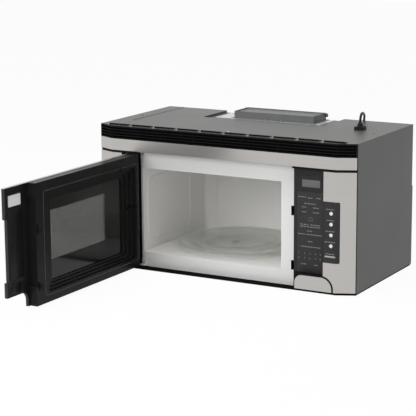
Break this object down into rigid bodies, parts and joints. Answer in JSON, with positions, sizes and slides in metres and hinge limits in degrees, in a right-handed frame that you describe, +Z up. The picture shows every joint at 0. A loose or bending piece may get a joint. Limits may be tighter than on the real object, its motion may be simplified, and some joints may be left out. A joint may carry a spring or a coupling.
{
  "type": "over the range microwave",
  "caption": "Wide steel and charcoal oven cabinet with side hinged door standing open, white cavity with glass turntable, right control column, front vent grille and top exhaust collar.",
  "frame": {"origin": "middle of the underside of the cabinet", "axes": "+Z up, +X to the right seen from the front, +Y to the back; the door opens towards -Y"},
  "size_m": [0.7596, 1.0799, 0.4328],
  "materials": {
    "charcoal_paint": "satin",
    "stainless": "brushed",
    "black_plastic": "satin",
    "black_gloss": "gloss",
    "white_enamel": "gloss",
    "cavity_enamel": "gloss",
    "galvanised": "dull",
    "adapter_grey": "satin",
    "clear_glass": "polished",
    "tinted_glass": "polished",
    "screen_metal": "satin",
    "keypad_film": "satin",
    "display_glass": "gloss",
    "white_plastic": "satin",
    "circuit_board": "satin",
    "dark_metal": "satin",
    "mica": "matt",
    "filter_mesh": "woven",
    "zinc": "satin",
    "cord_vinyl": "satin",
    "spring_steel": "drawn"
  },
  "bodies": {
    "cabinet": {"outer_cover": "charcoal_paint", "base_plate": "charcoal_paint", "grease_filters": "filter_mesh", "lamp_lens": "clear_glass", "lamps": "white_plastic", "rear_panel": "galvanised", "wall_plate": "galvanised", "vent_grille": "black_plastic", "steel_band": "stainless", "left_pillar": "stainless", "left_post": "black_plastic", "bottom_sill": "black_plastic", "front_plate": "white_enamel", "cavity_shell": "cavity_enamel", "waveguide": "galvanised", "waveguide_cover": "mica", "magnetron": "dark_metal", "transformer": "dark_metal", "capacitor": "zinc", "fan_motor": "galvanised", "blower_housings": "galvanised", "blower_motor": "dark_metal", "exhaust_plate": "galvanised", "exhaust_collar": "adapter_grey", "turntable_motor": "galvanised", "hinge_brackets": "white_enamel", "interlock": "black_plastic", "control_housing": "black_plastic", "right_pillar": "stainless", "arch_trim": "stainless", "button_panel": "black_gloss", "membrane_keypad": "keypad_film", "display_window": "display_glass", "control_board": "circuit_board", "screws": "zinc", "strain_relief": "black_plastic", "power_cord": "cord_vinyl", "cord_coil": "cord_vinyl", "power_plug": "cord_vinyl"},
    "door": {"door_skin": "stainless", "door_frame": "black_gloss", "door_glass": "tinted_glass", "door_screen": "screen_metal", "choke_cover": "black_gloss", "display_lens": "display_glass", "latch_spring": "spring_steel"},
    "latch": {"latch_bar": "black_plastic"},
    "button_1": {"push_button_1": "white_plastic"},
    "button_2": {"push_button_2": "white_plastic"},
    "button_3": {"push_button_3": "white_plastic"},
    "button_4": {"push_button_4": "white_plastic"},
    "turntable": {"turntable_coupler": "white_plastic", "glass_tray": "clear_glass"},
    "ring": {"roller_ring": "white_plastic"},
    "roller_1": {"roller_1": "white_plastic"},
    "roller_2": {"roller_2": "white_plastic"},
    "roller_3": {"roller_3": "white_plastic"},
    "damper": {"damper_flap": "adapter_grey"},
    "vent_wheels": {"blower_wheels": "galvanised"},
    "fan": {"fan_blade": "white_plastic"}
  },
  "joints": [
    {"name": "door_hinge", "type": "hinge", "parent": "cabinet", "child": "door", "pos_m": [-0.27, -0.18, 0.162], "axis": [0, 0, 1], "range_deg": [-6, 90.5]},
    {"name": "latch_slide", "type": "slide", "parent": "door", "child": "latch", "axis": [0, 0, 1], "range_m": [0, 0.003], "stiffness_N_per_m": 150, "springref_m": -0.008, "deforming": ["latch_spring"]},
    {"name": "button_1_slide", "type": "slide", "parent": "cabinet", "child": "button_1", "axis": [0, 1, 0], "range_m": [0, 0.0015], "stiffness_N_per_m": 400, "springref_m": -0.002},
    {"name": "button_2_slide", "type": "slide", "parent": "cabinet", "child": "button_2", "axis": [0, 1, 0], "range_m": [0, 0.0015], "stiffness_N_per_m": 400, "springref_m": -0.002},
    {"name": "button_3_slide", "type": "slide", "parent": "cabinet", "child": "button_3", "axis": [0, 1, 0], "range_m": [0, 0.0015], "stiffness_N_per_m": 400, "springref_m": -0.002},
    {"name": "button_4_slide", "type": "slide", "parent": "cabinet", "child": "button_4", "axis": [0, 1, 0], "range_m": [0, 0.0015], "stiffness_N_per_m": 400, "springref_m": -0.002},
    {"name": "turntable_spin", "type": "hinge", "parent": "cabinet", "child": "turntable", "pos_m": [-0.057, 0.0126, 0.05], "axis": [0, 0, 1], "continuous": true},
    {"name": "ring_spin", "type": "hinge", "parent": "cabinet", "child": "ring", "pos_m": [-0.057, 0.0126, 0.048], "axis": [0, 0, 1], "continuous": true},
    {"name": "roller_1_spin", "type": "hinge", "parent": "ring", "child": "roller_1", "pos_m": [-0.057, -0.0824, 0.048], "axis": [0, -1, 0], "continuous": true},
    {"name": "roller_2_spin", "type": "hinge", "parent": "ring", "child": "roller_2", "pos_m": [0.02527, 0.0601, 0.048], "axis": [0.866, 0.5, 0], "continuous": true},
    {"name": "roller_3_spin", "type": "hinge", "parent": "ring", "child": "roller_3", "pos_m": [-0.13927, 0.0601, 0.048], "axis": [-0.866, 0.5, 0], "continuous": true},
    {"name": "damper_hinge", "type": "hinge", "parent": "cabinet", "child": "damper", "pos_m": [0.003, 0.182, 0.3995], "axis": [-1, 0, 0], "range_deg": [0, 78]},
    {"name": "blower_spin", "type": "hinge", "parent": "cabinet", "child": "vent_wheels", "pos_m": [0, 0.137, 0.328], "axis": [1, 0, 0], "continuous": true},
    {"name": "fan_spin", "type": "hinge", "parent": "cabinet", "child": "fan", "pos_m": [0.29, 0.126, 0.215], "axis": [0, 1, 0], "continuous": true}
  ],
  "couplings": [
    {"joint": "ring_spin", "follows": "turntable_spin", "ratio": 0.5},
    {"joint": "roller_1_spin", "follows": "turntable_spin", "ratio": -8.3333},
    {"joint": "roller_2_spin", "follows": "turntable_spin", "ratio": -8.3333},
    {"joint": "roller_3_spin", "follows": "turntable_spin", "ratio": -8.3333}
  ]
}
